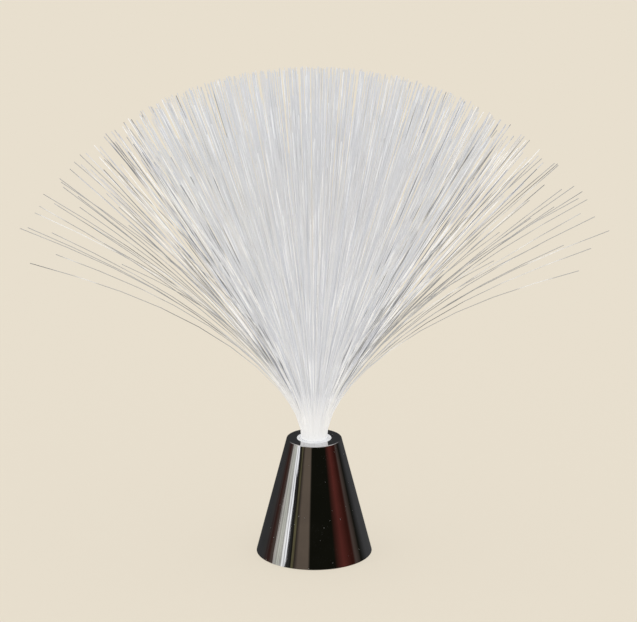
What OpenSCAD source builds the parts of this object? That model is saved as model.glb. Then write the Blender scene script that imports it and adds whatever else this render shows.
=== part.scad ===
// Fibre optic lamp: a mirror-finished conical casing that stands on a table, with a battery
// compartment, a slide switch and a light board inside, and a plug-in spray of clear fibres.
// Sizes are in millimetres. +Z is up, +X runs along the cells, and the origin is on the table,
// under the middle of the casing.

/* [Casing] */
// Outer diameter of the casing at its bottom rim
casing_bottom_d = 80; // [78:0.5:96]
// Outer diameter of the casing at its flat top
casing_top_d = 38; // [37:0.5:46]
// Height of the casing, from rim to flat top
casing_h = 82.5; // [78:0.5:110]
// Thickness of the sloping wall
casing_wall = 2; // [1.4:0.1:2.6]
// Thickness of the flat top
casing_top_wall = 2.4; // [1.8:0.1:3.4]
// Radius of the rounded edge around the flat top
casing_edge_r = 0.6; // [0.3:0.1:1.2]

/* [Base plate and feet] */
// Thickness of the base plate
plate_t = 2.2; // [1.8:0.1:3]
// How far the plate lies inside the rim
plate_recess = 1; // [0.6:0.1:1.2]
// Height of a rubber foot
foot_h = 1.5; // [1.3:0.1:3]
// Diameter of a rubber foot
foot_d = 7; // [5:0.5:8]
// Outer diameter of the posts that the plate is screwed to
plate_post_d = 6.4; // [5:0.2:7]

/* [Battery compartment] */
// Diameter of a cell
cell_d = 10.5; // [10:0.1:11]
// Length of a cell, its nub included
cell_l = 44.5; // [42:0.1:45]
// Gap between two cells
cell_gap = 1; // [0.9:0.1:1.4]
// Space taken by a contact spring
spring_l = 4; // [3.4:0.1:4.4]
// Thickness of a contact plate
contact_t = 0.4; // [0.2:0.05:0.6]
// Wall thickness of the compartment
box_wall = 1.5; // [1.2:0.1:2]
// Thickness of the battery door
door_t = 1.8; // [1.4:0.1:2.2]
// Radius of the door's hinge pins
door_pin_r = 0.6; // [0.5:0.05:0.65]

/* [Switch] */
// Distance between the battery compartment and the switch
switch_spacing = 4.8; // [4.2:0.1:5.2]
// Travel of the switch knob
switch_travel = 2.5; // [1.5:0.1:3.5]
// Length of the switch's mounting strip
switch_strip_l = 19; // [18:0.5:20]
// Width of the switch
switch_w = 5.5; // [5:0.1:6.5]
// Height of the switch's can
switch_can_h = 4.5; // [4:0.1:6]
// How far the knob stands out of the plate
knob_out = 0.9; // [0.4:0.1:1.2]

/* [Light holder and board] */
// Depth of the bundle's seat in the light holder, below the flat top
seat_depth = 21; // [16:0.5:22]
// Depth of the light chamber under the seat
chamber_h = 12; // [11:0.5:14]
// Wall thickness of the light holder
holder_wall = 1.5; // [1.2:0.1:1.6]
// Length of the posts that the light holder is screwed to
holder_post_l = 6; // [5:0.5:8]
// Diameter of the light board
board_d = 33; // [32:0.5:38]
// Thickness of the light board
board_t = 1.6; // [1:0.1:2]
// Diameter of a light-emitting diode
led_d = 5; // [4.8:0.1:5.2]

/* [Fibres] */
// Diameter of the glued bundle of fibres
bundle_d = 18.4; // [18:0.1:19]
// Wall thickness of the ferrule around the bundle
ferrule_wall = 1; // [0.8:0.05:1.1]
// How far the ferrule stands out of the flat top
ferrule_out = 0.4; // [0:0.1:2]
// Length of a strand in the middle, from the ferrule to its tip
fibre_l = 256; // [150:1:320]
// How much shorter the outermost strands are
fringe_cut = 10; // [0:1:30]
// Width of a strand
strand_d = 0.74; // [0.5:0.02:0.76]
// Number of strands
strand_count = 300; // [60:1:300]
// How far the outermost strands lean out soon after they leave the bundle, in degrees
core_angle = 32; // [20:1:36]
// How much further the outermost strands bend out towards their tips, in degrees
fringe_angle = 60; // [0:1:62]
// How far a level strand would droop towards its tip, in degrees
droop_angle = 6; // [0:1:12]
// How far strands lean to the front and back, as a share of how far they lean sideways
depth_share = 0.7; // [0.5:0.05:1]

/* [Hidden] */
$fn = 48;

// Clearances and overlaps
loose_gap = 0.3;     // between parts that are dropped in
fit_gap = 0.1;       // between the ferrule and its bore, and around pins
screw_gap = 0.05;    // around the shank of a screw
glue_gap = 0.05;     // between the bundle and its ferrule
contact_gap = 0.1;   // between a cell and what presses on it
hole_gap = 0.15;     // between the light holder and the hole in the flat top
eps = 0.01;          // how far a cut runs past the face that it opens
join = 0.5;          // how deep one shape runs into another of the same piece

// Casing
cone_slope = (casing_bottom_d - casing_top_d) / 2 / casing_h;
cone_lean = atan(cone_slope);
rim_z = foot_h - plate_recess;
top_z = rim_z + casing_h;
under_top_z = top_z - casing_top_wall;
wall_across = casing_wall / cos(cone_lean);
edge_steps = 5;
function outer_r(z) = casing_bottom_d / 2 - cone_slope * (z - rim_z);
function inner_r(z) = outer_r(z) - wall_across;

// Base plate
plate_z = foot_h;
plate_top_z = plate_z + plate_t;
plate_r = inner_r(plate_top_z) - loose_gap;
plate_screw_r = 1.25;
plate_screw_l = 9;
plate_screw_head = [2.6, 1.6];      // radius and height
screw_recess = 1;
plate_screw_angles = [90, 240, 300];
plate_post_inset = 2;
plate_post_circle_r = plate_r - plate_post_d / 2 - plate_post_inset;
plate_post_top_z = rim_z
    + (casing_bottom_d / 2 - wall_across - plate_post_circle_r + plate_post_d / 2) / cone_slope;
foot_inset = 0.5;
foot_circle_r = plate_r - foot_d / 2 - foot_inset;
foot_angles = [42, 138, 207, 333];
finger_notch = [5, 1];              // radius and depth

// Battery compartment
cell_pitch = cell_d + cell_gap;
under_cell = 0.2;
above_cell = 0.4;
cell_z = plate_z + door_t + under_cell + cell_d / 2;
nub = [1.9, 1];                     // radius and height
cavity_l = cell_l + spring_l + 2 * contact_t + 2 * contact_gap;
cavity_w = 3 * cell_d + 2 * cell_gap + 2 * loose_gap;
ceiling_z = cell_z + cell_d / 2 + above_cell;
box_top_z = ceiling_z + box_wall;
contact_w = 8;
contact_h = 7.6;
contact_low_z = cell_z - contact_h / 2 + 0.25;
tab_w = 3;
tab_out = 3;
tab_top_z = box_top_z + tab_out;
rib_w = cell_gap - loose_gap;
rib_l = cell_l - 8;

// Battery door
door_l = cavity_l - 2 * loose_gap;
door_w = cavity_w - 2 * loose_gap;
barrel_r = door_t / 2;
hinge_x = -door_l / 2 + barrel_r;
hinge_z = plate_z + barrel_r;
door_pin_l = box_wall - 0.1;
pin_hole_l = box_wall - 0.2 + loose_gap;
lip = [0.8, 8, 1.5];                // thickness, width and height above the door
groove = [0.7, 12, 0.4];            // width, length and depth
groove_pitch = 1.6;
groove_count = 4;
groove_inset = 4;

// Switch
switch_y = -(cavity_w / 2 + box_wall + switch_spacing + switch_w / 2);
strip_t = 0.5;
can_l = 10;
neck = [2.4, 1.8];                  // length and width of the knob's neck
cap = [3.6, 3.4, 0.9];              // length, width and sunk depth of the knob's cap
neck_into_can = 1.2;
cap_top_z = plate_z + cap[2];
neck_top_z = plate_top_z + strip_t + neck_into_can;
knob_groove = [0.4, 0.3];           // width and depth
switch_pin = [1.5, 0.4, 3];
switch_pin_pitch = 3;
switch_hole_x = switch_strip_l / 2 - 2;
switch_screw_r = 0.9;
switch_screw_l = strip_t + plate_t - 0.6;
switch_screw_z = plate_top_z + strip_t - switch_screw_l;
switch_screw_end = 0.2;
small_head = [1.7, 1.2];            // radius and height
can_top_z = plate_top_z + strip_t + switch_can_h;

// Light holder
seat_z = top_z - seat_depth;
ferrule_r = bundle_d / 2 + glue_gap + ferrule_wall;
holder_bore_r = ferrule_r + fit_gap;
holder_r = holder_bore_r + holder_wall;
top_hole_r = holder_r + hole_gap;
holder_post_r = 2.2;
holder_post_wall = 0.8;
holder_screw_circle_r = top_hole_r + holder_post_r + holder_post_wall;
holder_flange_t = 2;
holder_flange_z = under_top_z - holder_post_l;
holder_flange_r = holder_screw_circle_r + 2.6;
holder_screw_r = 0.95;
blind_end = 1;                      // solid left past the end of a screw hole
holder_screw_l = holder_flange_t + holder_post_l - 1.5 * blind_end;
seat_ledge = [0.6, 4];              // width and thickness
seat_r = bundle_d / 2 - seat_ledge[0];
chamber_wall = 2.2;
chamber_r = holder_r - chamber_wall;

// Light board
board_top_z = seat_z - chamber_h;
board_z = board_top_z - board_t;
board_post = [2.4, 8];              // radius and height
board_screw_circle_r = holder_r + board_post[0] - 0.65;
board_screw_r = 0.95;
board_screw_l = board_t + board_post[1] - 2 * blind_end;
led_circle_r = 4.6;
led_rim = [led_d / 2 + 0.4, 1];     // radius and height
led_h = 8.6;
led_start = 30;
led_step = 120;
leg_r = 0.25;
leg_spacing = 2.54;
leg_l = board_t + 1;
leg_hole_r = leg_r + fit_gap;
chip = [5, 4, 1.6];
chip_leg = [0.4, 1, 0.6];
chip_leg_pitch = 1.27;
resistor = [3.2, 1.6, 0.6];
resistor_x = -9.5;
resistor_pitch = 3.2;

// Contact springs
spring_wire_r = 0.25;
spring_turns = 3;
spring_rings = 8;                   // rings in a turn
spring_foot_r = 3.4;
spring_tip_r = 2.2;

// Wires
wire_r = 0.6;
wire_sides = 6;
wire_gap = 0.05;
wire_lead = 2;
wire_steps = 3;
wire_pad_r = 12.5;
switch_pin_top = [0, switch_y, can_top_z + switch_pin[2]];
positive_tab = [cavity_l / 2 - contact_t / 2, -cell_pitch, tab_top_z];
negative_tab = [-cavity_l / 2 + contact_t / 2, cell_pitch, tab_top_z];
board_plus = [wire_pad_r * cos(300), wire_pad_r * sin(300), board_z];
board_minus = [wire_pad_r * cos(150), wire_pad_r * sin(150), board_z];
cell_to_switch_way = [[22, -16, 22], [10, -22, 20]];    // points that a wire bows through
switch_to_board_way = [[-4, -25, 22], [0, -22, 34]];
board_to_cell_way = [[-22, 12, 26], [-18, 12, 37]];
red_wire = [0.75, 0.08, 0.06];
black_wire = [0.06, 0.06, 0.06];

// Fibres
ferrule_top_z = top_z + ferrule_out;
golden_angle = 137.508;
first_azimuth = 39;
strand_root = 1;                    // how deep a strand is fused into the bundle
strand_rim_gap = 0.1;
strand_circle_r = (bundle_d - strand_d) / 2 - strand_rim_gap;
core_power = 0.85;
fringe_power = 10;
cut_power = 4;
bend_share = 0.08;                  // share of its length in which a strand leans out
ring_shares = [0, 0.08, 0.24, 0.54, 1];
path_steps = 50;

// A screw with its axis along Z, its head below z = 0 and its shank above, with a cross recess.
module screw(shank_r, shank_l, head) {
    recess_w = 0.5;
    recess_l = 1.2 * head[0];
    difference() {
        union() {
            cylinder(h = shank_l, r = shank_r);
            translate([0, 0, -head[1]])
                cylinder(h = head[1], r = head[0]);
        }
        for (turn = [0, 90])
            rotate([0, 0, turn])
                block([recess_l, recess_w, head[1] / 2], -head[1] - eps);
    }
}

// Places its children on a circle at the given angles.
module around(circle_r, angles) {
    for (a = angles)
        rotate([0, 0, a])
            translate([circle_r, 0, 0])
                children();
}

// A box that is centred in X and Y and stands on z.
module block(size, z) {
    translate([-size[0] / 2, -size[1] / 2, z])
        cube(size);
}

function unit(v) = v / norm(v);
function heading(p, i) = unit(p[min(i + 1, len(p) - 1)] - p[max(i - 1, 0)]);
// Normals carried along a path with no twist.
function carried(p, n0) = [
    for (i = 0, n = unit(n0 - heading(p, 0) * (n0 * heading(p, 0)));
         i < len(p);
         i = i + 1, t = heading(p, min(i, len(p) - 1)), n = unit(n - t * (n * t)))
        n
];
// A smooth curve through hand-set points, each stretch cut into steps (Catmull-Rom).
function smooth(p, steps) = concat([
    for (i = [0 : len(p) - 2], k = [0 : steps - 1])
        let (a = p[max(i - 1, 0)], b = p[i], c = p[i + 1], d = p[min(i + 2, len(p) - 1)], u = k / steps)
            0.5 * (2 * b + (c - a) * u + (2 * a - 5 * b + 4 * c - d) * pow(u, 2)
                + (3 * b - a - 3 * c + d) * pow(u, 3))
], [p[len(p) - 1]]);
// The faces of a tube whose rings have some sides, its first point being number start.
function tube_faces(rings, sides, start = 0) = concat(
    [[for (k = [0 : sides - 1]) start + k]],
    [[for (k = [sides - 1 : -1 : 0]) start + (rings - 1) * sides + k]],
    [
        for (r = [0 : rings - 2], k = [0 : sides - 1])
            let (a = start + r * sides + k, b = start + r * sides + (k + 1) % sides)
                each [[a, a + sides, b], [b, a + sides, b + sides]]
    ]
);
// A round tube along a path.
module tube(p, r, sides) {
    n = carried(p, [1, 0, 0]);
    points = [
        for (i = [0 : len(p) - 1], k = [0 : sides - 1])
            let (a = 360 * k / sides)
                p[i] + r * (n[i] * cos(a) + cross(heading(p, i), n[i]) * sin(a))
    ];
    polyhedron(points, tube_faces(len(p), sides), convexity = 6);
}

// A cone that ends inside the casing's wall, to trim what grows out of the wall.
module cone_core() {
    translate([0, 0, rim_z])
        cylinder(h = casing_h, r1 = (casing_bottom_d - casing_wall) / 2,
            r2 = (casing_top_d - casing_wall) / 2);
}

module casing() {
    edge_z = top_z - casing_edge_r;
    edge_x = casing_bottom_d / 2
        - (casing_edge_r + (edge_z - rim_z) * sin(cone_lean)) / cos(cone_lean);
    profile = concat(
        [[inner_r(rim_z), rim_z], [casing_bottom_d / 2, rim_z]],
        [
            for (i = [0 : edge_steps])
                let (a = cone_lean + (90 - cone_lean) * i / edge_steps)
                    [edge_x + casing_edge_r * cos(a), edge_z + casing_edge_r * sin(a)]
        ],
        [[top_hole_r, top_z], [top_hole_r, under_top_z], [inner_r(under_top_z), under_top_z]]
    );
    color([0.32, 0.32, 0.34])
        difference() {
            union() {
                rotate_extrude($fn = 128)
                    polygon(profile);
                intersection() {
                    around(plate_post_circle_r, plate_screw_angles)
                        translate([0, 0, plate_top_z])
                            cylinder(h = plate_post_top_z - plate_top_z, d = plate_post_d);
                    cone_core();
                }
                around(holder_screw_circle_r, [0, 180])
                    translate([0, 0, holder_flange_z])
                        cylinder(h = holder_post_l + join, r = holder_post_r);
            }
            around(plate_post_circle_r, plate_screw_angles)
                translate([0, 0, plate_top_z - eps])
                    cylinder(h = plate_screw_l, r = plate_screw_r + screw_gap);
            around(holder_screw_circle_r, [0, 180])
                translate([0, 0, holder_flange_z - eps])
                    cylinder(h = holder_post_l - blind_end, r = holder_screw_r + screw_gap);
        }
}

module light_holder() {
    color([0.95, 0.95, 0.93])
        difference() {
            union() {
                translate([0, 0, board_top_z])
                    cylinder(h = top_z - board_top_z, r = holder_r, $fn = 96);
                translate([0, 0, holder_flange_z - holder_flange_t])
                    cylinder(h = holder_flange_t, r = holder_flange_r, $fn = 96);
                around(board_screw_circle_r, [90, 270])
                    translate([0, 0, board_top_z])
                        cylinder(h = board_post[1], r = board_post[0]);
            }
            translate([0, 0, seat_z])
                cylinder(h = seat_depth + eps, r = holder_bore_r, $fn = 96);
            translate([0, 0, board_top_z + join])
                cylinder(h = chamber_h, r = seat_r, $fn = 96);
            translate([0, 0, board_top_z - eps])
                cylinder(h = chamber_h - seat_ledge[1], r = chamber_r, $fn = 96);
            around(holder_screw_circle_r, [0, 180])
                translate([0, 0, holder_flange_z - holder_flange_t - eps])
                    cylinder(h = holder_flange_t + 2 * eps, r = holder_screw_r + screw_gap);
            around(board_screw_circle_r, [90, 270])
                translate([0, 0, board_top_z - eps])
                    cylinder(h = board_post[1] - blind_end, r = board_screw_r + screw_gap);
        }
}

module holder_screws() {
    color("silver")
        around(holder_screw_circle_r, [0, 180])
            translate([0, 0, holder_flange_z - holder_flange_t])
                screw(holder_screw_r, holder_screw_l, small_head);
}

// Runs its children at both legs of each diode.
module at_legs() {
    around(led_circle_r, [for (i = [0 : 2]) led_start + led_step * i])
        for (side = [-1, 1])
            translate([0, side * leg_spacing / 2, 0])
                children();
}

module light_board() {
    color([0.1, 0.38, 0.2])
        difference() {
            translate([0, 0, board_z])
                cylinder(h = board_t, d = board_d, $fn = 96);
            translate([0, 0, board_z - eps]) {
                at_legs()
                    cylinder(h = board_t + 2 * eps, r = leg_hole_r, $fn = 24);
                around(board_screw_circle_r, [90, 270])
                    cylinder(h = board_t + 2 * eps, r = board_screw_r + screw_gap);
            }
        }
}

// A diode with a domed lens, a rim at its foot and two legs through the board.
module led(index, tint) {
    dome_r = led_d / 2;
    color(tint)
        around(led_circle_r, [led_start + led_step * index])
            translate([0, 0, board_top_z]) {
                cylinder(h = led_rim[1], r = led_rim[0]);
                cylinder(h = led_h - dome_r, r = dome_r);
                translate([0, 0, led_h - dome_r])
                    sphere(r = dome_r);
                for (side = [-1, 1])
                    translate([0, side * leg_spacing / 2, -leg_l])
                        cylinder(h = leg_l + join, r = leg_r, $fn = 24);
            }
}

module control_chip() {
    color([0.08, 0.08, 0.09]) {
        block(chip, board_z - chip[2]);
        for (side = [-1, 1], i = [-1.5 : 1.5])
            translate([i * chip_leg_pitch, side * (chip[1] + chip_leg[1]) / 2, 0])
                block(chip_leg, board_z - chip_leg[2]);
    }
}

module resistors() {
    color([0.15, 0.15, 0.17])
        for (i = [-1 : 1])
            translate([resistor_x, i * resistor_pitch, 0])
                block(resistor, board_z - resistor[2]);
}

module board_screws() {
    color("silver")
        around(board_screw_circle_r, [90, 270])
            translate([0, 0, board_z])
                screw(board_screw_r, board_screw_l, small_head);
}

module base_plate() {
    cap_room = [cap[0] + switch_travel + 2 * loose_gap, cap[1] + 2 * loose_gap, cap[2] + loose_gap];
    neck_room = [neck[0] + switch_travel + 2 * loose_gap, neck[1] + 2 * loose_gap, plate_t];
    tab_slot = [contact_t, tab_w + 2 * loose_gap, box_wall + join];
    color([0.12, 0.12, 0.13])
        difference() {
            union() {
                translate([0, 0, plate_z])
                    cylinder(h = plate_t, r = plate_r, $fn = 128);
                block([cavity_l + 2 * box_wall, cavity_w + 2 * box_wall, box_top_z - plate_z], plate_z);
            }
            difference() {
                block([cavity_l, cavity_w, ceiling_z - plate_z + eps], plate_z - eps);
                for (side = [-1, 1])
                    translate([0, side * cell_pitch / 2, 0])
                        block([rib_l, rib_w, ceiling_z - cell_z + join], cell_z);
            }
            for (side = [-1, 1])
                translate([side * (cavity_l - contact_t) / 2, -side * cell_pitch, 0])
                    block(tab_slot, ceiling_z - join / 2);
            translate([hinge_x, 0, hinge_z])
                rotate([90, 0, 0])
                    cylinder(h = cavity_w + 2 * pin_hole_l, r = door_pin_r + fit_gap, center = true);
            translate([cavity_l / 2, 0, plate_z - eps])
                cylinder(h = finger_notch[1], r = finger_notch[0]);
            around(plate_post_circle_r, plate_screw_angles) {
                translate([0, 0, plate_z - eps])
                    cylinder(h = screw_recess + eps, r = plate_screw_head[0] + loose_gap);
                translate([0, 0, plate_z])
                    cylinder(h = plate_t + eps, r = plate_screw_r + screw_gap);
            }
            translate([0, switch_y, 0]) {
                block(cap_room, plate_z - eps);
                block(neck_room + [0, 0, 2 * eps], plate_z);
                for (side = [-1, 1])
                    translate([side * switch_hole_x, 0, switch_screw_z - switch_screw_end])
                        cylinder(h = switch_screw_l + join, r = switch_screw_r + screw_gap);
            }
        }
}

module plate_screws() {
    color("silver")
        around(plate_post_circle_r, plate_screw_angles)
            translate([0, 0, plate_z + screw_recess])
                screw(plate_screw_r, plate_screw_l, plate_screw_head);
}

module feet() {
    color([0.2, 0.2, 0.2])
        around(foot_circle_r, foot_angles)
            cylinder(h = foot_h, d = foot_d);
}

module battery_door() {
    color([0.12, 0.12, 0.13])
        difference() {
            union() {
                translate([hinge_x, -door_w / 2, plate_z])
                    cube([door_l / 2 - hinge_x, door_w, door_t]);
                translate([hinge_x, 0, hinge_z])
                    rotate([90, 0, 0]) {
                        cylinder(h = door_w, r = barrel_r, center = true);
                        cylinder(h = door_w + 2 * (loose_gap + door_pin_l - join), r = door_pin_r,
                            center = true);
                    }
                translate([(door_l - lip[0]) / 2, 0, 0])
                    block([lip[0], lip[1], door_t - join + lip[2]], plate_z + join);
            }
            for (i = [0 : groove_count - 1])
                translate([door_l / 2 - groove_inset - i * groove_pitch, 0, 0])
                    block([groove[0], groove[1], groove[2] + eps], plate_z - eps);
        }
}

// A cell: a can with a nub at its positive end. Every second cell is turned round.
module cell(index) {
    facing = index == 2 ? -1 : 1;
    color([0.25, 0.45, 0.3])
        translate([facing * (cavity_l / 2 - contact_t - contact_gap), (index - 2) * cell_pitch, cell_z])
            rotate([0, -90 * facing, 0]) {
                cylinder(h = nub[1] + join, r = nub[0]);
                translate([0, 0, nub[1]])
                    cylinder(h = cell_l - nub[1], d = cell_d);
            }
}

// A contact plate against an end wall, from one cell to another, and a tab through the ceiling.
module contact(side, first, last, tabbed) {
    low_y = (first - 2) * cell_pitch - contact_w / 2;
    high_y = (last - 2) * cell_pitch + contact_w / 2;
    color("silver")
        translate([side * (cavity_l - contact_t) / 2, (low_y + high_y) / 2, 0]) {
            block([contact_t, high_y - low_y, contact_h], contact_low_z);
            if (tabbed)
                block([contact_t, tab_w, tab_top_z - cell_z], cell_z);
        }
}

// The centreline of a conical spring that stands on z = 0, wide at its foot.
spring_path = [
    for (i = [0 : spring_turns * spring_rings])
        let (share = i / (spring_turns * spring_rings), a = 360 * i / spring_rings,
            r = spring_foot_r + (spring_tip_r - spring_foot_r) * share)
            [r * cos(a), r * sin(a), spring_wire_r + (spring_l - 2 * spring_wire_r) * share]
];
spring_least_gap = min([
    for (i = [0 : len(spring_path) - 1 - spring_rings], k = [spring_rings - 2 : spring_rings + 2])
        if (i + k < len(spring_path)) norm(spring_path[i] - spring_path[i + k]) - 2 * spring_wire_r
]);
echo(spring_least_gap = spring_least_gap);

// The spring at the flat end of a cell.
module contact_spring(index) {
    side = index == 2 ? 1 : -1;
    color([0.85, 0.85, 0.87])
        translate([side * (cavity_l / 2 - contact_t - contact_gap / 2), (index - 2) * cell_pitch, cell_z])
            rotate([0, -90 * side, 0])
                tube(spring_path, spring_wire_r, wire_sides);
}

module switch_can() {
    room = [neck[0] + switch_travel + 2 * loose_gap, neck[1] + 2 * loose_gap,
        strip_t + neck_into_can + loose_gap];
    color([0.75, 0.75, 0.76])
        translate([0, switch_y, 0])
            difference() {
                union() {
                    block([switch_strip_l, switch_w, strip_t], plate_top_z);
                    block([can_l, switch_w, switch_can_h], plate_top_z + strip_t);
                    for (i = [-1 : 1])
                        translate([i * switch_pin_pitch, 0, 0])
                            block(switch_pin + [0, 0, join], can_top_z - join);
                }
                block(room + [0, 0, eps], plate_top_z - eps);
                for (side = [-1, 1])
                    translate([side * switch_hole_x, 0, plate_top_z - eps])
                        cylinder(h = strip_t + 2 * eps, r = switch_screw_r + screw_gap);
            }
}

// The knob at its "on" end.
module switch_knob() {
    color([0.9, 0.9, 0.88])
        translate([switch_travel / 2, switch_y, 0])
            difference() {
                union() {
                    block([cap[0], cap[1], cap[2] + knob_out], plate_z - knob_out);
                    block([neck[0], neck[1], neck_top_z - cap_top_z + join], cap_top_z - join);
                }
                for (i = [-1 : 1])
                    translate([i, 0, 0])
                        block([knob_groove[0], cap[1] + eps, knob_groove[1] + eps], plate_z - knob_out - eps);
            }
}

module switch_screws() {
    color("silver")
        for (side = [-1, 1])
            translate([side * switch_hole_x, switch_y, plate_top_z + strip_t])
                rotate([180, 0, 0])
                    screw(switch_screw_r, switch_screw_l, small_head);
}

// A wire whose ends stand square on its two solder points, bowing through the points between.
module wire(start, between, finish, finish_up, tint) {
    first = start + [0, 0, wire_gap];
    last = finish + [0, 0, finish_up * wire_gap];
    route = concat(
        [first, first + [0, 0, wire_lead / 2], first + [0, 0, wire_lead]],
        between,
        [last + [0, 0, finish_up * wire_lead], last + [0, 0, finish_up * wire_lead / 2], last]
    );
    color(tint)
        tube(smooth(route, wire_steps), wire_r, wire_sides);
}

module wire_cell_to_switch() {
    wire(positive_tab, cell_to_switch_way, switch_pin_top, 1, red_wire);
}

module wire_switch_to_board() {
    wire(switch_pin_top - [switch_pin_pitch, 0, 0], switch_to_board_way, board_plus, -1, red_wire);
}

module wire_board_to_cell() {
    wire(negative_tab, board_to_cell_way, board_minus, -1, black_wire);
}

module fibre_ferrule() {
    color([0.96, 0.96, 0.95])
        translate([0, 0, seat_z])
            difference() {
                cylinder(h = seat_depth + ferrule_out, r = ferrule_r, $fn = 96);
                translate([0, 0, -eps])
                    cylinder(h = seat_depth + ferrule_out + 2 * eps, r = bundle_d / 2 + glue_gap, $fn = 96);
            }
}

// A strand leaves the bundle upright, leans out within its first few centimetres and then
// droops gently. The few strands at the rim of the bundle go on bending out, evenly, until they
// lie almost level. A strand's place in the bundle, from 0 in the middle to 1 at the rim, is
// called out here.
function azimuth(i) = first_azimuth + i * golden_angle;
function out_of(i) = sqrt((i + 0.5) / strand_count);
function length_of(out) = fibre_l - fringe_cut * pow(out, cut_power);
// How far a strand leans soon, and how much further by its tip. Both are less to front and back.
function leans(out, a) = norm([cos(a), depth_share * sin(a)])
    * [core_angle * pow(out, core_power), fringe_angle * pow(out, fringe_power)];
// The angle from upright at a share of the strand's length.
function lean_at(lean, share) = lean[0] * (1 - exp(-share / bend_share)) + lean[1] * share
    + droop_angle * sin(lean[0]) * (1 - pow(1 - share, 2));
// The running sum of a strand's steps, as [outward, upward].
function strand_run(lean, length) = [
    for (i = 0, p = [0, 0];
         i <= path_steps;
         i = i + 1, a = lean_at(lean, (i - 0.5) / path_steps),
         p = p + length / path_steps * [sin(a), cos(a)])
        p
];
// The rings of a strand's centreline, as [outward, upward, lean].
function strand_rings(i) =
    let (out = out_of(i), lean = leans(out, azimuth(i)), run = strand_run(lean, length_of(out)))
        [
            for (share = ring_shares)
                let (p = run[round(share * path_steps)])
                    [strand_circle_r * out + p[0], share > 0 ? p[1] : -strand_root,
                        share > 0 ? lean_at(lean, share) : 0]
        ];
// The three corners of each ring of a strand.
function strand_points(i) = [
    for (ring = strand_rings(i), k = [0 : 2])
        let (u = strand_d / 2 * cos(120 * k), v = strand_d / 2 * sin(120 * k), a = azimuth(i),
            x = ring[0] + u * cos(ring[2]))
            [x * cos(a) - v * sin(a), x * sin(a) + v * cos(a),
                ferrule_top_z + ring[1] - u * sin(ring[2])]
];

module fibre_spray() {
    rings = len(ring_shares);
    color([0.86, 0.88, 0.9]) {
        translate([0, 0, seat_z])
            cylinder(h = seat_depth + ferrule_out, d = bundle_d);
        polyhedron(
            [for (i = [0 : strand_count - 1]) each strand_points(i)],
            [for (i = [0 : strand_count - 1]) each tube_faces(rings, 3, i * 3 * rings)],
            convexity = 20
        );
    }
}

casing();
light_holder();
holder_screws();
light_board();
led(0, [0.9, 0.3, 0.3]);  // led_red
led(1, [0.3, 0.85, 0.4]);  // led_green
led(2, [0.35, 0.45, 0.95]);  // led_blue
control_chip();
resistors();
board_screws();
base_plate();
plate_screws();
feet();
battery_door();
cell(1);  // cell_1
cell(2);  // cell_2
cell(3);  // cell_3
contact(1, 1, 1, true);  // contact_positive
contact(-1, 3, 3, true);  // contact_negative
contact(-1, 1, 2, false);  // contact_link_front
contact(1, 2, 3, false);  // contact_link_rear
contact_spring(1);  // contact_spring_1
contact_spring(2);  // contact_spring_2
contact_spring(3);  // contact_spring_3
switch_can();
switch_knob();
switch_screws();
wire_cell_to_switch();
wire_switch_to_board();
wire_board_to_cell();
fibre_ferrule();
fibre_spray();
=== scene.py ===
import math

import bpy
import numpy as np
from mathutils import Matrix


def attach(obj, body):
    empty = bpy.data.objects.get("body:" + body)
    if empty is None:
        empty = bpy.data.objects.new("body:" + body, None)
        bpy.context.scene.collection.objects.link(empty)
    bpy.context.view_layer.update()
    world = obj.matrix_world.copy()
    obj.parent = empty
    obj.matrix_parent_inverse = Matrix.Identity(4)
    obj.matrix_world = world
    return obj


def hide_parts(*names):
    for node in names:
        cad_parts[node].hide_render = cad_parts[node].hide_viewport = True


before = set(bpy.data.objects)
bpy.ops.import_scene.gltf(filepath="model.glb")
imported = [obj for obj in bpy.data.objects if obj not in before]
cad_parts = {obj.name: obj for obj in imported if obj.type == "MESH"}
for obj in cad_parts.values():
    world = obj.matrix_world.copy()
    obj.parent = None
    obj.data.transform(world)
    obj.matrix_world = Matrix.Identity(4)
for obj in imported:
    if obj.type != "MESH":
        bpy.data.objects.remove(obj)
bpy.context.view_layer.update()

MM = 0.001

# Measures that the dressing shares with the lamp's solids, in millimetres
SEAT_Z = 62.0
FERRULE_TOP_Z = 83.4
BUNDLE_R = 9.2
CELL_END_X = 20.25
CELL_NUB_X = 24.25
PLATE_FACE_Z = 1.5

# Sides of a piece that is turned about the vertical axis
ROUND_STEPS = 96


# ---------------------------------------------------------------------------
# Camera
# ---------------------------------------------------------------------------

# How high the camera stands, in degrees, how far off and at what it aims, in metres, its lens and
# sensor, in millimetres, and how far it sees, in metres
CAMERA_ELEVATION = 18.7
CAMERA_DISTANCE = 4.0
CAMERA_FOCAL = 329.8
CAMERA_SENSOR = 36.0
CAMERA_AIM = (0.003, 0.0, 0.1753)
CAMERA_REACH = 60.0


def aim_camera():
    """Camera on a circle round the aim point, straight in front and raised by the elevation."""
    camera = bpy.data.objects.new("camera", bpy.data.cameras.new("camera"))
    bpy.context.scene.collection.objects.link(camera)
    camera.data.sensor_width = CAMERA_SENSOR
    camera.data.lens = CAMERA_FOCAL
    camera.data.clip_end = CAMERA_REACH
    rise = math.radians(CAMERA_ELEVATION)
    camera.location = (
        CAMERA_AIM[0],
        CAMERA_AIM[1] - CAMERA_DISTANCE * math.cos(rise),
        CAMERA_AIM[2] + CAMERA_DISTANCE * math.sin(rise),
    )
    camera.rotation_euler = (math.pi / 2 - rise, 0.0, 0.0)
    bpy.context.scene.camera = camera


aim_camera()
bpy.context.scene.view_settings.view_transform = "Standard"


# ---------------------------------------------------------------------------
# Helpers for colours and nodes
# ---------------------------------------------------------------------------

def linear(share):
    """Light that a display value from 0 to 1 stands for: a line near black, a power curve above."""
    return share / 12.92 if share <= 0.04045 else ((share + 0.055) / 1.055) ** 2.4


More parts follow.
